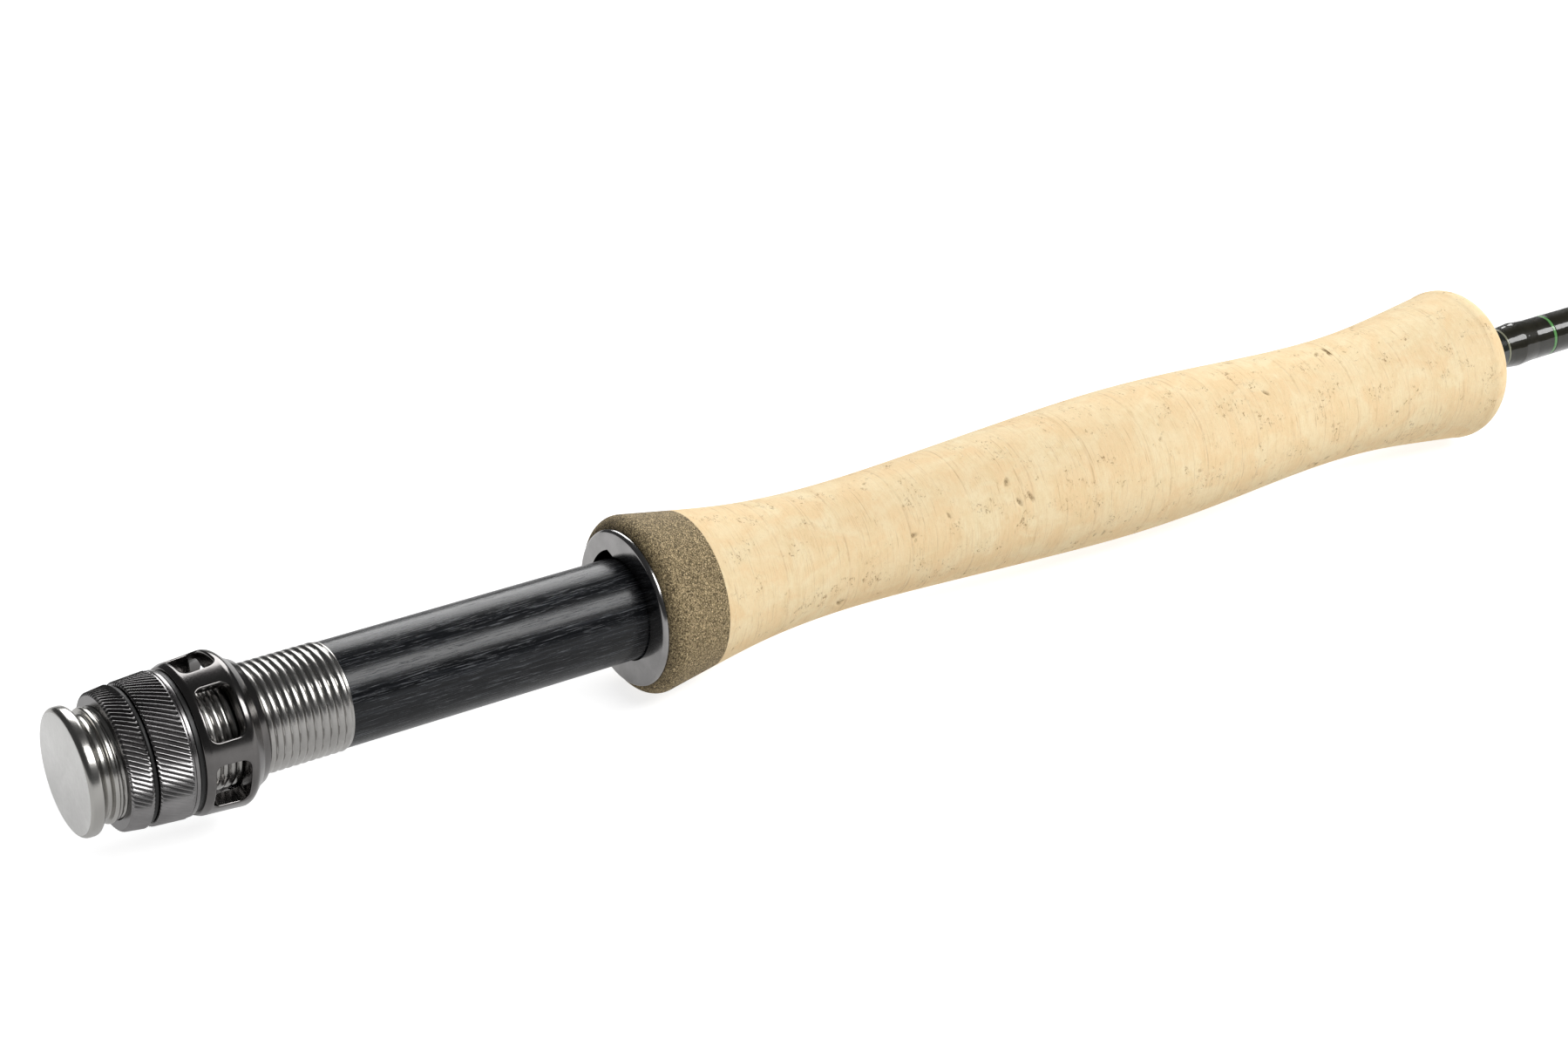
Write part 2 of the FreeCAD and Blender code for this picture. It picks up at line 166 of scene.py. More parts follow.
def round_corner(before, here, after, radius, steps=6):
    """Points of the arc that rounds one corner of an outline."""
    before, here, after = (np.array(p[:2], float) for p in (before, here, after))
    back = (before - here) / np.linalg.norm(before - here)
    ahead = (after - here) / np.linalg.norm(after - here)
    half = math.acos(float(np.clip(back @ ahead, -1, 1))) / 2
    middle = (back + ahead) / np.linalg.norm(back + ahead)
    centre = here + middle * radius / math.sin(half)
    start = here + back * radius / math.tan(half) - centre
    end = here + ahead * radius / math.tan(half) - centre
    turn = math.pi - 2 * half
    return [tuple(centre + (start * math.sin((1 - t) * turn) + end * math.sin(t * turn)) / math.sin(turn))
            for t in np.linspace(0, 1, steps)]


def smooth_outline(points):
    """An outline of (x, r) or (x, r, rounding) points with its corners rounded."""
    line = []
    for i, point in enumerate(points):
        if len(point) > 2:
            line += round_corner(points[i - 1], point, points[(i + 1) % len(points)], point[2])
        else:
            line.append(point)
    return np.array(line, float)


def ring_grid(stations, radii, around, turns=None):
    """Points of a turned piece: stations (rows,), radii (rows,) or (rows, around), turns from 0 to 1."""
    turns = np.arange(around) / around if turns is None else turns
    radii = radii[:, None] if radii.ndim == 1 else radii
    radii = np.broadcast_to(radii, (len(stations), around))
    angle = np.broadcast_to(turns * TURN, radii.shape)
    stations = np.broadcast_to(stations[:, None], radii.shape)
    return np.stack([stations, radii * np.cos(angle), radii * np.sin(angle)], axis=-1)


def cut_away(piece, cutter):
    """Cut one closed piece out of another and drop the cutter."""
    cut = piece.modifiers.new("cut", "BOOLEAN")
    cut.object = cutter
    cut.solver = "EXACT"
    mesh = bpy.data.meshes.new_from_object(piece.evaluated_get(bpy.context.evaluated_depsgraph_get()))
    mesh.name = piece.name
    piece.modifiers.clear()
    piece.data = mesh
    bpy.data.objects.remove(cutter)
    mesh.set_sharp_from_angle(angle=math.radians(SHARP_EDGE))


def foot_room(rear, rear_radius, front, front_radius):
    """A closed block the width of the reel foot, arched on top, on the foot's side of the rod."""
    half = FOOT_WIDTH / 2
    ends = []
    for x, radius in ((rear, rear_radius), (front, front_radius)):
        reach = math.asin(half / radius)
        arch = [(radius * math.sin(a), radius * math.cos(a)) for a in np.linspace(-reach, reach, 33)]
        section = [(-half, 3.0)] + arch + [(half, 3.0)]
        ends.append([(x, h * math.cos(SEAT_ANGLE) - w * math.sin(SEAT_ANGLE),
                      h * math.sin(SEAT_ANGLE) + w * math.cos(SEAT_ANGLE)) for w, h in section])
    count = len(ends[0])
    sides = [(i, (i + 1) % count, (i + 1) % count + count, i + count) for i in range(count)]
    mesh = bpy.data.meshes.new("foot_room")
    mesh.from_pydata((np.array(ends[0] + ends[1]) * MM).tolist(), [],
                     sides + [tuple(range(count))[::-1], tuple(range(count, 2 * count))])
    face_outwards(mesh)
    room = bpy.data.objects.new("foot_room", mesh)
    bpy.context.scene.collection.objects.link(room)
    return room


def face_outwards(mesh, merge=None):
    """Turn every face outwards; points closer than merge, in millimetres, become one."""
    shell = bmesh.new()
    shell.from_mesh(mesh)
    if merge:
        bmesh.ops.remove_doubles(shell, verts=shell.verts, dist=merge * MM)
    bmesh.ops.recalc_face_normals(shell, faces=shell.faces)
    shell.to_mesh(mesh)
    shell.free()


def turned(name, outline, body, material, node, around):
    """A piece turned about the rod's axis from an outline that runs over its outside from rear to front."""
    line = smooth_outline(outline)
    mesh = skin(name, ring_grid(line[:, 0], line[:, 1], around))
    return finish_piece(mesh, name, body, material, node)


def arc_through(first, middle, last, count):
    """Points on the arc through three points."""
    (x1, y1), (x2, y2), (x3, y3) = first, middle, last
    d = 2 * (x1 * (y2 - y3) + x2 * (y3 - y1) + x3 * (y1 - y2))
    s1, s2, s3 = x1 * x1 + y1 * y1, x2 * x2 + y2 * y2, x3 * x3 + y3 * y3
    cx = (s1 * (y2 - y3) + s2 * (y3 - y1) + s3 * (y1 - y2)) / d
    cy = (s1 * (x3 - x2) + s2 * (x1 - x3) + s3 * (x2 - x1)) / d
    radius = math.hypot(x1 - cx, y1 - cy)
    start, end = math.atan2(y1 - cy, x1 - cx), math.atan2(y3 - cy, x3 - cx)
    return [(cx + radius * math.cos(a), cy + radius * math.sin(a)) for a in np.linspace(start, end, count)]


def natural_spline(points):
    """A smooth function r(x) through points, straight at both ends."""
    x, y = np.array(points, float).T
    n = len(x)
    h = np.diff(x)
    rows = np.eye(n)
    side = np.zeros(n)
    for i in range(1, n - 1):
        rows[i, i - 1:i + 2] = h[i - 1], 2 * (h[i - 1] + h[i]), h[i]
        side[i] = 6 * ((y[i + 1] - y[i]) / h[i] - (y[i] - y[i - 1]) / h[i - 1])
    bend = np.linalg.solve(rows, side)

    def value(at):
        at = np.asarray(at, float)
        k = np.clip(np.searchsorted(x, at) - 1, 0, n - 2)
        a, b = x[k + 1] - at, at - x[k]
        return (bend[k] * a ** 3 + bend[k + 1] * b ** 3) / (6 * h[k]) + (y[k] / h[k] - bend[k] * h[k] / 6) * a \
            + (y[k + 1] / h[k] - bend[k + 1] * h[k] / 6) * b

    return value


# ---- material helpers ----------------------------------------------------------------------------------

class Finish:
    """A node material being put together around one Principled shader."""

    def __init__(self, name, **values):
        self.material = bpy.data.materials.new(name)
        self.material.use_nodes = True
        self.tree = self.material.node_tree
        self.shader = self.tree.nodes["Principled BSDF"]
        for socket, value in values.items():
            self.shader.inputs[socket.replace("_", " ")].default_value = value
        self.place = self.tree.nodes.new("ShaderNodeTexCoord").outputs["Object"]

    def add(self, kind, *links, **settings):
        """A new node; links are (input, output or value) pairs."""
        node = self.tree.nodes.new("ShaderNode" + kind)
        for key, value in settings.items():
            setattr(node, key, value)
        for socket, source in links:
            if hasattr(source, "is_output"):
                self.tree.links.new(source, node.inputs[socket])
            else:
                node.inputs[socket].default_value = source
        return node

    def maths(self, operation, a, b=0.0, c=0.0, clamp=False):
        return self.add("Math", (0, a), (1, b), (2, c), operation=operation, use_clamp=clamp).outputs[0]

    def stretched(self, along, across):
        """Place in millimetres, scaled along the rod and across it."""
        scale = (along / MM, across / MM, across / MM)
        return self.add("Mapping", ("Vector", self.place), ("Scale", scale)).outputs[0]

    def noise(self, along, across, detail=3.0, roughness=0.5, distortion=0.0):
        return self.add("TexNoise", ("Vector", self.stretched(along, across)), ("Scale", 1.0),
                        ("Detail", detail), ("Roughness", roughness), ("Distortion", distortion)).outputs["Fac"]

    def ramp(self, source, *stops):
        """A colour ramp over (position, colour or grey) stops."""
        node = self.add("ValToRGB", (0, source))
        elements = node.color_ramp.elements
        while len(elements) < len(stops):
            elements.new(0.5)
        for element, (position, colour) in zip(elements, stops):
            element.position = position
            grey = isinstance(colour, (int, float))
            element.color = (colour, colour, colour, 1) if grey else (*colour, 1)
        return node.outputs[0]

    def mix(self, factor, a, b, blend="MIX"):
        node = self.add("Mix", data_type="RGBA", blend_type=blend)
        for socket, source in ((0, factor), (6, a), (7, b)):
            if hasattr(source, "is_output"):
                self.tree.links.new(source, node.inputs[socket])
            elif isinstance(source, (int, float)):
                node.inputs[socket].default_value = source
            else:
                node.inputs[socket].default_value = (*source, 1)
        return node.outputs[2]

    def station(self):
        """Place along the rod, in metres."""
        return self.add("SeparateXYZ", (0, self.place)).outputs[0]

    def colour(self, source):
        self.tree.links.new(source, self.shader.inputs["Base Color"])

    def roughness(self, source):
        self.tree.links.new(source, self.shader.inputs["Roughness"])

    def bump(self, height, depth, strength=1.0):
        """Relief of that depth in millimetres, from a height of 0 to 1."""
        node = self.add("Bump", ("Height", height), ("Distance", depth * MM), ("Strength", strength))
        self.tree.links.new(node.outputs[0], self.shader.inputs["Normal"])


def metal(name, tint, rough, spread=0.06, lines=0.0):
    """Bare or anodised metal: turning marks, faint smudges and a little tone drift."""
    f = Finish(name, Metallic=1.0)
    smudge = f.noise(0.25, 0.25, 4.0, 0.6)
    fine = f.noise(1.0 / TURNING_PITCH, 0.02, 2.0)
    pale = tuple(min(1.0, c * 1.12) for c in tint)
    deep = tuple(c * 0.86 for c in tint)
    f.colour(f.ramp(smudge, (0.3, deep), (0.7, pale)))
    drift = f.maths("MULTIPLY_ADD", smudge, spread, rough - spread / 2)
    f.roughness(f.maths("MULTIPLY_ADD", fine, spread * 0.5, drift))
    if lines:
        f.bump(fine, lines)
    return f.material


def cap_metal():
    """Nickel silver: a satin face with faint rubbing marks, and a smoother rim and neck given a flat darker
    base as painted shade.
    """
    f = Finish("cap_nickel_silver", Metallic=1.0)
    face = f.maths("LESS_THAN", f.station(), 0.06 * MM)
    cloud = f.noise(0.1, 0.16, 3.0, 0.55)
    rub = f.noise(0.5, 1.2, 4.0, 0.6, 0.4)
    tone = f.mix(0.35, f.ramp(cloud, (0.35, (0.70, 0.695, 0.68)), (0.68, (0.82, 0.815, 0.80))),
                 f.ramp(rub, (0.3, (0.64, 0.635, 0.62)), (0.7, (0.84, 0.835, 0.82))))
    # Painted shade: the rim and neck get a flat darker base (0.46) than the face, darkening them where the nut
    # face shades the neck.
    f.colour(f.mix(face, (0.46, 0.45, 0.43), tone))
    satin = f.maths("MULTIPLY_ADD", rub, 0.10, 0.29)
    polished = f.maths("MULTIPLY_ADD", rub, 0.08, 0.19)
    f.roughness(f.add("Mix", (0, face), (2, polished), (3, satin)).outputs[0])
    f.bump(rub, 0.006)
    return f.material


def cork():
    """Natural cork: cream to peach patches, fine streaks round the grip, chains of brown specks, pits."""
    f = Finish("cork_natural")
    f.shader.inputs["Specular IOR Level"].default_value = 0.25
    burl_front = span("burl_ring")[1]
    ring_length = span("cork_ring_01")[1] - span("cork_ring_01")[0]
    rings = f.maths("DIVIDE", f.maths("SUBTRACT", f.station(), burl_front * MM), ring_length * MM)
    tone = f.add("TexWhiteNoise", ("W", f.maths("FLOOR", rings)), noise_dimensions="1D").outputs["Value"]
    joint = f.ramp(f.maths("PINGPONG", f.maths("FRACT", rings), 0.5), (0.006, 1.0), (0.02, 0.0))
    patches = f.noise(0.13, 0.16, 4.0, 0.6, 0.8)
    bands = f.noise(0.55, 0.07, 4.0, 0.6, 0.8)
    streaks = f.noise(1.7, 0.42, 6.0, 0.75, 1.3)
    grain = f.noise(4.0, 2.6, 4.0, 0.7)
    mottle = f.noise(0.45, 0.42, 5.0, 0.7, 0.8)
    peach, cream, straw = (0.87, 0.65, 0.375), (0.90, 0.75, 0.48), (0.82, 0.65, 0.37)
    base = f.mix(f.ramp(patches, (0.40, 0.0), (0.60, 1.0)), cream, peach)
    base = f.mix(f.maths("MULTIPLY", f.ramp(mottle, (0.46, 0.0), (0.66, 1.0)), 0.5), base, straw)
    base = f.mix(f.maths("MULTIPLY", tone, 0.3), base, peach)
    base = f.mix(f.maths("MULTIPLY", f.ramp(bands, (0.50, 0.0), (0.72, 1.0)), 0.4), base, (0.80, 0.60, 0.335))
    veins = f.maths("MULTIPLY", f.ramp(streaks, (0.54, 0.0), (0.68, 1.0)), 0.42)
    base = f.mix(veins, base, (0.68, 0.485, 0.25))
    lines = f.ramp(f.noise(3.4, 0.11, 3.0, 0.6, 1.2), (0.60, 0.0), (0.66, 1.0))
    base = f.mix(f.maths("MULTIPLY", lines, f.maths("MULTIPLY", patches, 0.75)), base, (0.50, 0.33, 0.17))
    patchy = f.maths("MULTIPLY_ADD", patches, 2.4, -1.0, clamp=True)
    base = f.mix(f.maths("MULTIPLY", joint, patchy), base, (0.60, 0.42, 0.24))
    pale = f.maths("MULTIPLY", f.ramp(streaks, (0.34, 1.0), (0.46, 0.0)), 0.4)
    base = f.mix(pale, base, (0.94, 0.82, 0.57))
    dust = f.maths("MULTIPLY", f.ramp(grain, (0.54, 0.0), (0.70, 1.0)), 0.22)
    base = f.mix(dust, base, (0.60, 0.42, 0.235))
    speck = f.ramp(f.noise(1.5, 1.2, 5.0, 0.75, 1.0), (0.57, 0.0), (0.62, 1.0))
    flock = f.ramp(f.noise(0.2, 0.26, 3.0, 0.6), (0.53, 0.0), (0.60, 1.0))
    speck = f.maths("MULTIPLY", speck, flock)
    base = f.mix(f.maths("MULTIPLY", speck, 0.75), base, (0.34, 0.205, 0.09))
    pit = f.add("Attribute", attribute_name="pit").outputs["Fac"]
    edge = f.maths("MULTIPLY_ADD", grain, 3.2, -0.6)
    ragged = f.maths("MULTIPLY", f.maths("SUBTRACT", pit, 0.12), edge, clamp=True)
    base = f.mix(ragged, base, (0.235, 0.155, 0.07))
    f.colour(base)
    relief = f.maths("ADD", f.maths("MULTIPLY", streaks, 0.5), f.maths("MULTIPLY", grain, 0.5))
    relief = f.maths("SUBTRACT", relief, f.maths("MULTIPLY", speck, 0.7))
    f.bump(relief, 0.06, 0.8)
    f.roughness(f.maths("MULTIPLY_ADD", grain, 0.2, 0.62))
    return f.material


def burl():
    """Composite cork: small granules from straw to dark olive brown, pressed together."""
    f = Finish("burl_composite")
    f.shader.inputs["Specular IOR Level"].default_value = 0.3
    warp = f.add("TexNoise", ("Vector", f.stretched(1.0, 1.0)), ("Scale", 1.0), ("Detail", 2.0))
    place = f.mix(0.35, f.stretched(1.0, 1.0), warp.outputs["Color"], "LINEAR_LIGHT")
    coarse = f.add("TexVoronoi", ("Vector", place), ("Scale", 3.1), ("Randomness", 1.0))
    fine = f.add("TexVoronoi", ("Vector", place), ("Scale", 7.0), ("Randomness", 1.0))
    pick = f.add("SeparateColor", (0, coarse.outputs["Color"])).outputs[0]
    pick_fine = f.add("SeparateColor", (0, fine.outputs["Color"])).outputs[1]
    granules = f.ramp(pick, (0.0, (0.075, 0.052, 0.022)), (0.35, (0.20, 0.15, 0.075)),
                      (0.65, (0.32, 0.24, 0.125)), (0.85, (0.42, 0.32, 0.165)), (0.97, (0.70, 0.54, 0.30)))
    crumbs = f.ramp(pick_fine, (0.0, (0.035, 0.024, 0.011)), (0.4, (0.18, 0.135, 0.068)),
                    (0.7, (0.40, 0.305, 0.16)), (0.95, (0.80, 0.62, 0.36)))
    seams = f.ramp(fine.outputs["Distance"], (0.3, 1.1), (0.85, 0.55))
    f.colour(f.mix(1.0, f.mix(0.8, granules, crumbs), seams, "MULTIPLY"))
    grain = f.noise(6.0, 6.0, 3.0)
    relief = f.maths("MULTIPLY_ADD", fine.outputs["Distance"], -0.8, grain)
    f.bump(relief, 0.10, 0.8)
    f.roughness(f.maths("MULTIPLY_ADD", grain, 0.2, 0.62))
    return f.material


def insert():
    """Black-dyed wood with a satin finish: pale short flecks and fine grain run along the rod."""
    f = Finish("insert_dyed_wood", Roughness=0.3)
    f.shader.inputs["Specular IOR Level"].default_value = 0.28
    f.shader.inputs["Coat Weight"].default_value = 0.09
    f.shader.inputs["Coat Roughness"].default_value = 0.12
    f.shader.inputs["Coat IOR"].default_value = 1.5
    long_grain = f.noise(0.04, 2.2, 6.0, 0.65, 0.3)
    pores = f.noise(0.2, 5.2, 5.0, 0.75, 0.2)
    flecks = f.ramp(pores, (0.55, 0.0), (0.62, 1.0))
    fibre = f.noise(0.12, 9.0, 3.0, 0.6)
    base = f.ramp(long_grain, (0.38, (0.0025, 0.003, 0.004)), (0.56, (0.008, 0.009, 0.011)),
                  (0.70, (0.026, 0.029, 0.034)))
    shown = f.maths("MULTIPLY", flecks, f.maths("MULTIPLY_ADD", long_grain, 1.3, -0.25), clamp=True)
    f.colour(f.mix(shown, base, (0.19, 0.20, 0.215)))
    f.roughness(f.maths("MULTIPLY_ADD", flecks, 0.14, f.maths("MULTIPLY_ADD", long_grain, 0.16, 0.17)))
    raised = f.maths("MULTIPLY_ADD", fibre, 0.5, long_grain)
    f.bump(f.maths("SUBTRACT", raised, f.maths("MULTIPLY", flecks, 0.5)), 0.03, 0.5)
    return f.material


def thread_wrap(name, dark, light):
    """Winding thread laid turn by turn round the blank under clear epoxy."""
    f = Finish(name, Roughness=0.35)
    f.shader.inputs["Specular IOR Level"].default_value = 0.12
    f.shader.inputs["Coat Weight"].default_value = 1.0
    f.shader.inputs["Coat Roughness"].default_value = 0.03
    turns = f.maths("MULTIPLY", f.station(), TURN / (THREAD_SPACING * MM))
    lay = f.maths("MULTIPLY_ADD", f.maths("SINE", turns), 0.5, 0.5)
    drift = f.noise(0.6, 0.3, 3.0)
    # Random tone drift, plus painted shade across each thread turn: lighter on the crest, darker between turns,
    # following the same sine as the bump.
    drift_and_turn_shade = f.maths("MULTIPLY_ADD", drift, 0.6, f.maths("MULTIPLY", lay, 0.5))
    f.colour(f.ramp(drift_and_turn_shade, (0.3, dark), (0.85, light)))
    node = f.add("Bump", ("Height", lay), ("Distance", 0.03 * MM), ("Strength", 0.35))
    f.tree.links.new(node.outputs[0], f.shader.inputs["Normal"])
    wavy = f.noise(0.35, 0.25, 2.0)
    ripple = f.add("Bump", ("Height", wavy), ("Distance", 0.2 * MM), ("Strength", 0.4))
    f.tree.links.new(ripple.outputs[0], f.shader.inputs["Coat Normal"])
    return f.material


def graphite():
    """Graphite blank: thin spiral tape marks and fibre under a dark olive clear finish."""
    f = Finish("blank_graphite", Roughness=0.3)
    f.shader.inputs["Specular IOR Level"].default_value = 0.12
    f.shader.inputs["Coat Weight"].default_value = 1.0
    f.shader.inputs["Coat Roughness"].default_value = 0.05
    fibre = f.noise(0.12, 5.0, 4.0, 0.6)
    tape = f.noise(0.55, 0.08, 2.0)
    base = f.ramp(fibre, (0.35, (0.008, 0.010, 0.007)), (0.65, (0.026, 0.032, 0.020)))
    f.colour(f.mix(0.3, base, f.ramp(tape, (0.4, (0.008, 0.010, 0.006)), (0.6, (0.03, 0.036, 0.024)))))
    f.bump(tape, 0.02, 0.4)
    return f.material


def dull(name, tone, rough):
    """Rubber, nylon or fibre: one tone, slightly mottled and grained."""
    f = Finish(name)
    grain = f.noise(3.0, 3.0, 4.0, 0.6)
    f.colour(f.ramp(grain, (0.3, tuple(c * 0.7 for c in tone)), (0.7, tuple(c * 1.3 for c in tone))))
    f.roughness(f.maths("MULTIPLY_ADD", grain, 0.2, rough - 0.1))
    f.bump(grain, 0.02, 0.5)
    return f.material


def lacquer(name, tone, rough=0.12):
    """Smooth hard gloss, with slight waviness and dust-fine variation."""
    f = Finish(name)
    f.shader.inputs["Coat Weight"].default_value = 0.8
    f.shader.inputs["Coat Roughness"].default_value = 0.04
    cloud = f.noise(0.5, 0.5, 3.0)
    f.colour(f.ramp(cloud, (0.3, tuple(c * 0.8 for c in tone)), (0.7, tuple(c * 1.25 for c in tone))))
    f.roughness(f.maths("MULTIPLY_ADD", cloud, 0.08, rough))
    f.bump(cloud, 0.02, 0.3)
    return f.material


def make_finishes():
    return {
        # The sliding hood, lock nuts and fixed ring are one anodised gunmetal in three tints: the hood's darker
        # tint is painted shade, the nuts' and ring's lighter tints are painted reflection of the bright floor.
        "gunmetal": metal("gunmetal_polished", (0.165, 0.158, 0.155), 0.17),
        "cap": cap_metal(),
        "barrel": metal("barrel_nickel", (0.42, 0.41, 0.395), 0.24, 0.08, 0.004),
        "ring": metal("gunmetal_ring", (0.36, 0.352, 0.348), 0.16),
        "nut": metal("nut_gunmetal", (0.25, 0.244, 0.244), 0.22, 0.08),
        "steel": metal("ring_steel", (0.5, 0.5, 0.5), 0.25),
        "guide": metal("guide_dark_chrome", (0.33, 0.33, 0.34), 0.12),
        "cork": cork(),
        "burl": burl(),
        "insert": insert(),
        "wrap": thread_wrap("wrap_dark_olive", (0.005, 0.005, 0.003), (0.020, 0.018, 0.010)),
        "trim": thread_wrap("wrap_green_trim", (0.045, 0.16, 0.04), (0.16, 0.42, 0.13)),
        "accent": thread_wrap("wrap_pale_accent", (0.10, 0.11, 0.075), (0.34, 0.35, 0.26)),
        "blank": graphite(),
        "check": lacquer("check_black", (0.010, 0.012, 0.010)),
        "ceramic": lacquer("guide_ceramic", (0.045, 0.047, 0.052), 0.10),
        "rubber": dull("o_ring_rubber", (0.006, 0.006, 0.006), 0.55),
        "nylon": dull("washer_nylon", (0.008, 0.008, 0.008), 0.45),
        "fibre": dull("arbor_fibre", (0.05, 0.05, 0.048), 0.7),
    }


# ---- pieces --------------------------------------------------------------------------------------------

def make_butt_cap(finishes):
    front = span("thread_barrel")[0]
    radius = outer("butt_cap")
    spigot = span("butt_cap")[1]
    outline = [(0, 0.001), (0, radius, 0.9), (2.1, radius, 0.8), (2.9, 8.0, 0.8), (3.9, 7.9, 0.3),
               (4.15, 8.85, 0.35), (front, 8.85, 0.3), (front, SEAT_BORE), (spigot, SEAT_BORE),
               (spigot, 0.001)]
    turned("butt_cap_turned", outline, "root", finishes["cap"], "butt_cap", 192)


def make_barrel(finishes):
    """The barrel with its right-hand thread as a true helix."""
    rear, front = span("thread_barrel")
    crest = outer("thread_barrel")
    around = 144
    rows = int((front - rear) / PITCH * 16)
    x = np.linspace(rear, front, rows)
    turn = np.arange(around) / around
    phase = (x[:, None] - rear) / PITCH - turn[None, :]
    ridge = 1 - np.abs(2 * (phase - np.floor(phase)) - 1) ** 2.4
    runout = np.clip(np.minimum(x - rear, front - x) / (0.5 * PITCH), 0, 1)[:, None]
    radii = crest - THREAD_DEPTH + THREAD_DEPTH * (ridge * runout + 0.35 * (1 - runout))
    bore = np.full((1, around), SEAT_BORE)
    grid = ring_grid(np.concatenate([[rear], x, [front]]), np.concatenate([bore, radii, bore]), around)
    finish_piece(skin("barrel_thread", grid), "barrel_thread", "root", finishes["barrel"], "thread_barrel",
                 60)


def knurled(name, outline, land, body, material, node):
    """A nut turned from an outline, with leaning ridges cut below its land, a line of two (x, r)."""
    line = smooth_outline(outline)
    (rear, rear_radius), (front, front_radius) = land
    dense = [line[0]]
    for a, b in zip(line, line[1:]):
        steps = max(1, int(abs(b[0] - a[0]) / 0.3)) if b[0] > a[0] else 1
        dense += [a + (b - a) * k / steps for k in range(1, steps + 1)]
    line = np.array(dense)
    steps, cut = np.array(KNURL_TOOTH).T
    cut = np.tile(cut, KNURL_COUNT)
    turns = (np.arange(KNURL_COUNT)[:, None] + steps).ravel() / KNURL_COUNT
    slant = math.tan(KNURL_ANGLE) / (TURN * front_radius)
    turns = turns[None, :] + slant * (line[:, :1] - rear)
    crest = rear_radius + (front_radius - rear_radius) * (line[:, :1] - rear) / (front - rear)
    ridges = np.minimum(line[:, 1:], crest - KNURL_DEPTH * cut)
    radii = np.where(line[:, :1] <= front + 0.01, ridges, line[:, 1:])
    mesh = skin(name, ring_grid(line[:, 0], radii, len(cut), turns))
    finish_piece(mesh, name, body, material, node, 40)


def make_nuts(finishes):
    bore = NUT_BORE
    rear, front = span("rear_lock_nut")
    outline = [(rear, bore), (rear, 10.15, 0.1), (rear + 0.3, 10.62), (front - 0.2, 11.0), (front, 10.75),
               (front, bore)]
    knurled("rear_lock_nut_knurled", outline, ((rear + 0.3, 10.65), (front - 0.2, 11.0)), "rear_lock_nut",
            finishes["nut"], "rear_lock_nut")
    rear, end = span("front_lock_nut")
    front = end - 2.2
    knurl_end = front - 1.05
    outline = [(rear, bore), (rear, 10.8), (rear + 0.2, 11.08), (knurl_end, 11.42),
               (knurl_end + 0.1, 11.12, 0.06), (front - 0.7, 11.12, 0.06), (front - 0.6, 11.3, 0.08),
               (front, 11.3, 0.2), (front, 10.25), (end - 1.1, 10.25), (end - 1.1, 9.8), (end - 0.4, 9.8),
               (end - 0.4, 10.25), (end, 10.25), (end, bore)]
    knurled("front_lock_nut_knurled", outline, ((rear + 0.2, 11.1), (knurl_end, 11.44)), "front_lock_nut",
            finishes["nut"], "front_lock_nut")


def window_loop(grow):
    """Points (x, across) all round a hood window grown outwards by so much, from its front corner."""
    half, corner = WINDOW_WIDTH / 2 + grow, WINDOW_CORNER + grow
    rear, front = WINDOW_SPAN[0] - grow, WINDOW_SPAN[1] + grow
    middles = [(front - corner, corner - half), (front - corner, half - corner),
               (rear + corner, half - corner), (rear + corner, corner - half)]
    points = []
    for side, (count, bend) in enumerate(((22, 5), (8, 4), (22, 5), (8, 4))):
        first, last = middles[side], middles[(side + 1) % 4]
        facing = side * math.pi / 2
        for a in np.linspace(-math.pi / 4, 0, bend, endpoint=False):
            points.append((first[0] + corner * math.cos(facing + a),
                           first[1] + corner * math.sin(facing + a)))
        for t in np.linspace(0, 1, count, endpoint=False):
            points.append((first[0] + (last[0] - first[0]) * t + corner * math.cos(facing),
                           first[1] + (last[1] - first[1]) * t + corner * math.sin(facing)))
        for a in np.linspace(0, math.pi / 4, bend, endpoint=False):
            points.append((last[0] + corner * math.cos(facing + a),
                           last[1] + corner * math.sin(facing + a)))
    return np.array(points)


def hood_outside(x):
    """Radius of the hood's outer cone at a place from its rear."""
    (x0, r0), (x1, r1) = HOOD_CONE
    return r0 + (r1 - r0) * (x - x0) / (x1 - x0)


def hood_inside(x):
    """Radius of the hood's cavity, wide at the rear for the nut's spigot, at a place from its rear."""
    return np.interp(x, *zip(*HOOD_CAVITY))


def window_patch(middle, frame_rear, frame_front):
    """Loops of points from a sector's outer border, over the window's rounded edge, to its inner border."""
    half = math.pi / WINDOW_COUNT
    ahead, side = np.linspace(-half, half, 33)[:-1], np.linspace(frame_front, frame_rear, 17)[:-1]
    border = np.array([(frame_front, a) for a in ahead] + [(x, half) for x in side]
                      + [(frame_rear, -a) for a in ahead]
                      + [(frame_front + frame_rear - x, -half) for x in side])

    def on_hood(places, radius):
        x, a = places[:, 0], places[:, 1] + middle
        return np.stack([x, radius * np.cos(a), radius * np.sin(a)], axis=-1)

    def opening(grow, radius):
        loop = window_loop(grow)
        return np.stack([loop[:, 0], np.arcsin(loop[:, 1] / radius)], axis=-1)

    edge = opening(WINDOW_EDGE, hood_outside(window_loop(WINDOW_EDGE)[:, 0]))
    loops = []
    for t in (0, 0.4, 0.75, 0.92):
        places = border + (edge - border) * t
        loops.append(on_hood(places, hood_outside(places[:, 0])))
    for a in np.linspace(0, math.pi / 2, 6):
        grow = WINDOW_EDGE * (1 - math.sin(a))
        radius = hood_outside(window_loop(grow)[:, 0]) - WINDOW_EDGE * (1 - math.cos(a))
        loops.append(on_hood(opening(grow, radius), radius))
    inner = opening(0, hood_inside(window_loop(0)[:, 0]))
    for t in (0, 0.5, 1):
        places = inner + (border - inner) * t
        loops.append(on_hood(places, hood_inside(places[:, 0])))
    return np.array(loops)


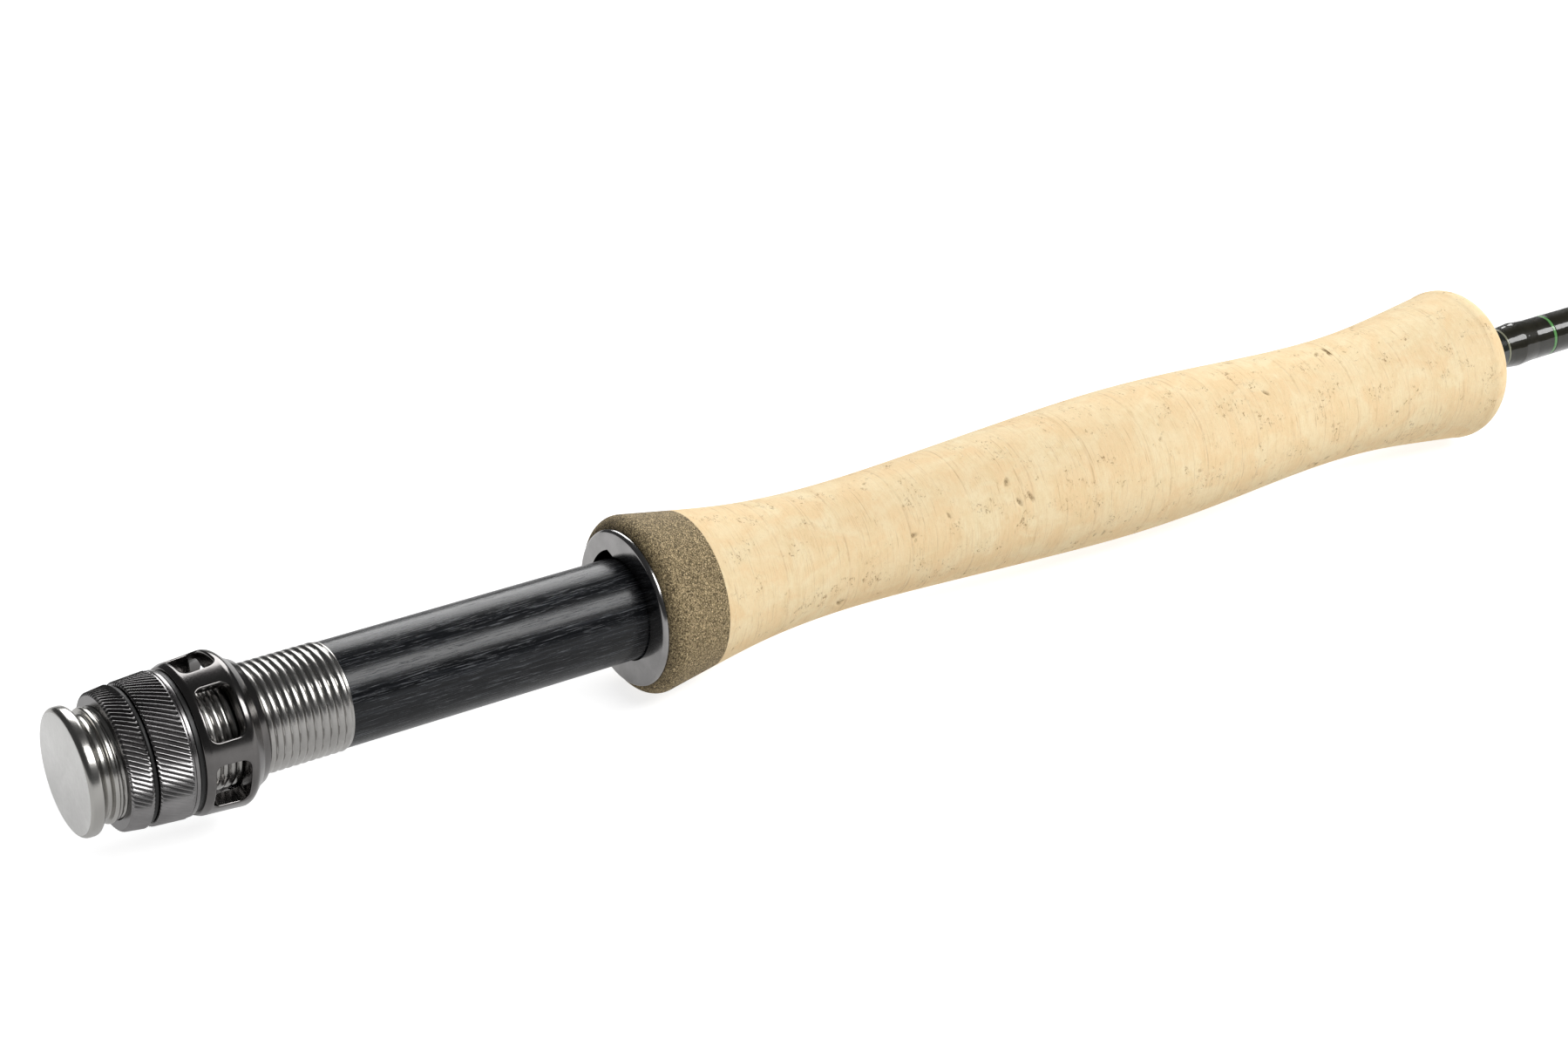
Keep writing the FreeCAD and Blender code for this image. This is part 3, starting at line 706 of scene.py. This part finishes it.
def make_sliding_hood(finishes):
    """The skeleton hood: lip, collar, and six windows with rounded edges between them."""
    start, end = span("sliding_hood")
    length = end - start
    bore = NUT_BORE
    frame_rear = WINDOW_SPAN[0] - WINDOW_EDGE
    frame_front = WINDOW_SPAN[1] + 0.4
    cone_rear, cone_front = HOOD_CONE
    front = smooth_outline([(frame_front, hood_outside(frame_front)), (*cone_front, 1.5), (9.7, 10.3, 0.9),
                            (length, 9.65, 0.3), (length, bore), (length - 1.9, bore),
                            (length - 3.1, hood_inside(frame_front)), (frame_front, hood_inside(frame_front))])
    rear = smooth_outline([(frame_rear, hood_inside(frame_rear)), (frame_rear, 10.35), (0.8, 10.35),
                           (0.8, 10.75), (0.3, 10.75), (0.3, 10.35), (0, 10.35), (0, 11.35, 0.2),
                           (*cone_rear, 1.0), (frame_rear, hood_outside(frame_rear))])
    sector = np.linspace(-0.5, 0.5, 33)[:-1]
    turns = ((np.arange(WINDOW_COUNT)[:, None] + sector) / WINDOW_COUNT).ravel() + SEAT_ANGLE / TURN
    points, faces = [], []
    for line in (front, rear):
        grid = ring_grid(line[:, 0], line[:, 1], len(turns), turns)
        base = sum(len(p) for p in points)
        index = base + np.arange(grid.shape[0] * grid.shape[1]).reshape(grid.shape[:2])
        right = np.roll(index, -1, axis=1)
        faces.append(np.stack([index[:-1], index[1:], right[1:], right[:-1]], axis=-1).reshape(-1, 4))
        points.append(grid.reshape(-1, 3))
    for number in range(WINDOW_COUNT):
        patch = window_patch(SEAT_ANGLE + number * TURN / WINDOW_COUNT, frame_rear, frame_front)
        base = sum(len(p) for p in points)
        index = base + np.arange(patch.shape[0] * patch.shape[1]).reshape(patch.shape[:2])
        right = np.roll(index, -1, axis=1)
        faces.append(np.stack([index[:-1], index[1:], right[1:], right[:-1]], axis=-1).reshape(-1, 4))
        points.append(patch.reshape(-1, 3))
    points = np.concatenate(points) + [start, 0, 0]
    mesh = bpy.data.meshes.new("sliding_hood_windowed")
    mesh.from_pydata((points * MM).tolist(), [], np.concatenate(faces).tolist())
    face_outwards(mesh, merge=0.001)
    hood = finish_piece(mesh, "sliding_hood_windowed", "sliding_hood", finishes["gunmetal"], "sliding_hood")
    cut_away(hood, foot_room(start + 5.8, FOOT_MOUTH_RADIUS, end + 1, FOOT_MOUTH_RADIUS))


def make_fixed_hood(finishes):
    """The ring set in the burl: rounded rim, eased bore, and the pocket for the front of the reel foot."""
    face, end = span("fixed_hood")
    radius = outer("fixed_hood")
    step = face + RING_STEP
    outline = [(face, RING_BORE, 0.12), (face, radius, 0.7), (step, radius), (step, RING_CUP), (end, RING_CUP),
               (end, INSERT_BORE), (end - 0.5, INSERT_BORE), (end - 0.5, RING_BORE)]
    ring = turned("fixed_hood_turned", outline, "root", finishes["ring"], "fixed_hood",
                  240)
    cut_away(ring, foot_room(face - 1, 9.95, face + 8.6, 9.2))


def make_insert(finishes):
    rear = span("thread_barrel")[1]
    tenon, front = span("seat_insert")
    radius = outer("seat_insert")
    outline = [(tenon, INSERT_BORE), (tenon, SEAT_BORE), (rear, SEAT_BORE), (rear, radius, 0.08),
               (front, radius), (front, INSERT_BORE)]
    turned("seat_insert_grained", outline, "root", finishes["insert"], "seat_insert", 192)


def grip_line():
    """Dense outline of the grip's outside from rear to front."""
    radius = natural_spline(GRIP_CURVE)
    stations = np.linspace(GRIP_CURVE[0][0], GRIP_CURVE[-1][0], 640)
    middle = np.stack([stations, radius(stations)], axis=1)
    rear = arc_through(*GRIP_REAR_ARC, 14)
    nose = arc_through(*GRIP_NOSE_ARC, 20)
    return np.array(rear[:-1] + [tuple(p) for p in middle] + nose[1:])


def pits_on(stations, around, radius, count, random):
    """How far into a pit each point of a ring's outside lies, from 0 to 1, and its depth in millimetres."""
    turn = np.arange(around) * TURN / around
    share = np.zeros((len(stations), around))
    depth = np.zeros_like(share)
    for _ in range(count):
        x = random.uniform(stations[0], stations[-1])
        angle = random.uniform(0, TURN)
        for _ in range(random.integers(1, 6)):
            size = random.uniform(0.1, 1.0) ** 2
            length, width = 0.22 + 0.75 * size, 0.16 + 0.24 * size
            along = stations[:, None] - x - random.normal(0, 1.1)
            round_it = radius * ((turn[None, :] - angle + math.pi) % TURN - math.pi) - random.normal(0, 0.8)
            tilt = random.uniform(0, math.pi)
            u = (round_it * math.cos(tilt) + along * math.sin(tilt)) / length
            v = (along * math.cos(tilt) - round_it * math.sin(tilt)) / width
            here = np.exp(-(u * u + v * v) ** 1.3)
            share = np.maximum(share, here * (0.45 + 0.55 * size))
            depth = np.maximum(depth, here * (0.05 + 0.2 * size))
    return share, depth


def make_cork_rings(finishes):
    """Each cork ring as its own turned piece, with pits sunk in its outside."""
    random = np.random.default_rng(SEED)
    whole = grip_line()
    around = 300
    names = sorted(name for name in NODES if name.startswith("cork_ring_"))
    for name in names:
        rear, front = span(name)
        last = name == names[-1]
        inside = whole[(whole[:, 0] > rear + 0.02) & ((whole[:, 0] < front - 0.02) | last)]
        radius = np.interp([rear, front], whole[:, 0], whole[:, 1])
        line = np.array([(rear, radius[0]), *inside] + ([] if last else [(front, radius[1])]))
        share, depth = pits_on(line[:, 0], around, radius.mean(), random.integers(2, 7), random)
        from_end = np.minimum(line[:, 0] - rear, math.inf if last else front - line[:, 0])
        relief = 0.03 * np.exp(-from_end / 0.12)
        radii = line[:, 1:] - depth - relief[:, None] * random.uniform(0.2, 1.0)
        bore = np.full((1, around), blank_radius(rear))
        stations = np.concatenate([[rear], line[:, 0], [front]])
        grid = ring_grid(stations, np.concatenate([bore, radii, bore]), around)
        mesh = skin(name + "_turned", grid)
        none = np.zeros((1, around))
        pit = mesh.attributes.new("pit", "FLOAT", "POINT")
        pit.data.foreach_set("value", np.concatenate([none, share, none]).astype(np.float32).ravel())
        finish_piece(mesh, name + "_turned", "root", finishes["cork"], name, 60)


def make_burl(finishes):
    rear, front = span("burl_ring")
    whole = grip_line()
    outside = whole[whole[:, 0] < front - 0.02]
    face, end = span("fixed_hood")
    rim, step = outer("fixed_hood"), face + RING_STEP
    outline = [(rear, rim)] + [tuple(p) for p in outside] + [
        (front, float(np.interp(front, whole[:, 0], whole[:, 1]))), (front, blank_radius(front)),
        (end, blank_radius(front)), (end, RING_CUP), (step, RING_CUP), (step, rim)]
    turned("burl_ring_turned", outline, "root", finishes["burl"], "burl_ring", 240)


def paint_nodes(finishes):
    """Give the CAD pieces that stay their materials."""
    choices = {"hood_washer": "nylon", "hood_snap_ring": "steel", "jam_o_ring": "rubber",
               "rear_arbor": "fibre", "middle_arbor": "fibre", "front_arbor": "fibre", "rod_blank": "blank",
               "winding_check": "check", "accent_band": "accent", "handle_wrap_rear": "wrap",
               "handle_trim_band": "trim", "handle_wrap_front": "wrap", "hook_keeper": "guide",
               "keeper_wrap_rear": "wrap", "keeper_wrap_front": "wrap", "guide_frame": "guide",
               "guide_ring": "ceramic", "guide_wrap_rear": "wrap", "guide_wrap_front": "wrap",
               "guide_trim_rear": "trim", "guide_trim_front": "trim"}
    for node, finish in choices.items():
        materials = NODES[node].data.materials
        materials.clear()
        materials.append(finishes[finish])


# ---- stage ---------------------------------------------------------------------------------------------

def direction(azimuth, elevation):
    """Unit vector towards an azimuth, from +X towards +Y, and an elevation, in degrees."""
    a, e = math.radians(azimuth), math.radians(elevation)
    return Vector((math.cos(e) * math.cos(a), math.cos(e) * math.sin(a), math.sin(e)))


def softbox(name, azimuth, elevation, distance, width, height, glow, aim=0.15):
    """A soft rectangular light aimed at a station of the rod, unseen by the camera; glow is its radiance."""
    light = bpy.data.lights.new(name, "AREA")
    light.shape = "RECTANGLE"
    light.size, light.size_y = width, height
    light.energy = glow * math.pi * width * height
    lamp = bpy.data.objects.new(name, light)
    towards = direction(azimuth, elevation)
    lamp.location = Vector((aim, 0, 0)) + towards * distance
    lamp.rotation_euler = towards.to_track_quat("Z", "Y").to_euler()
    lamp.visible_camera = False
    bpy.context.scene.collection.objects.link(lamp)


def make_stage():
    floor_z = CAD_BOX[0][2]
    bpy.ops.mesh.primitive_plane_add(size=1, location=(FLOOR_MIDDLE, 0, floor_z))
    floor = bpy.context.object
    floor.name = "floor"
    floor.scale = (*FLOOR_SIZE, 1)
    f = Finish("floor_white", Roughness=0.85)
    paper = f.noise(0.02, 0.02, 3.0)
    f.colour(f.ramp(paper, (0.3, 0.44), (0.7, 0.47)))
    f.shader.inputs["Emission Color"].default_value = (1, 1, 1, 1)
    seen = f.add("LightPath").outputs["Is Camera Ray"]
    glow = f.maths("MULTIPLY_ADD", seen, FLOOR_GLOW_SEEN, FLOOR_GLOW)
    f.tree.links.new(glow, f.shader.inputs["Emission Strength"])
    floor.data.materials.append(f.material)

    softbox("front_softbox", -90, 50, 1.25, 1.75, 0.55, 8.2, aim=1.02)
    softbox("back_softbox", 64, 37, 1.5, 1.15, 1.0, 5.0)

    world = bpy.data.worlds.new("studio")
    world.use_nodes = True
    bpy.context.scene.world = world
    tree = world.node_tree
    room = tree.nodes["Background"]
    room.inputs["Color"].default_value = (0.97, 0.985, 1.0, 1)
    room.inputs["Strength"].default_value = 0.07
    white = tree.nodes.new("ShaderNodeBackground")
    white.inputs["Strength"].default_value = 1.2
    seen = tree.nodes.new("ShaderNodeLightPath")
    mixed = tree.nodes.new("ShaderNodeMixShader")
    tree.links.new(seen.outputs["Is Camera Ray"], mixed.inputs[0])
    tree.links.new(room.outputs[0], mixed.inputs[1])
    tree.links.new(white.outputs[0], mixed.inputs[2])
    tree.links.new(mixed.outputs[0], tree.nodes["World Output"].inputs["Surface"])
    bpy.context.scene.view_settings.view_transform = "Standard"


def make_camera():
    data = bpy.data.cameras.new("camera")
    data.lens = 68.95
    data.sensor_width = 36
    data.clip_start = 0.01
    camera = bpy.data.objects.new("camera", data)
    camera.location = Vector((-0.129, -0.3722, 0.2165))
    gaze = Vector((0.5135, 0.74769, -0.42104))
    camera.rotation_euler = gaze.to_track_quat("-Z", "Y").to_euler()
    bpy.context.scene.collection.objects.link(camera)
    bpy.context.scene.camera = camera


finishes = make_finishes()
make_butt_cap(finishes)
make_barrel(finishes)
make_nuts(finishes)
make_sliding_hood(finishes)
make_fixed_hood(finishes)
make_insert(finishes)
make_burl(finishes)
make_cork_rings(finishes)
paint_nodes(finishes)
make_stage()
make_camera()
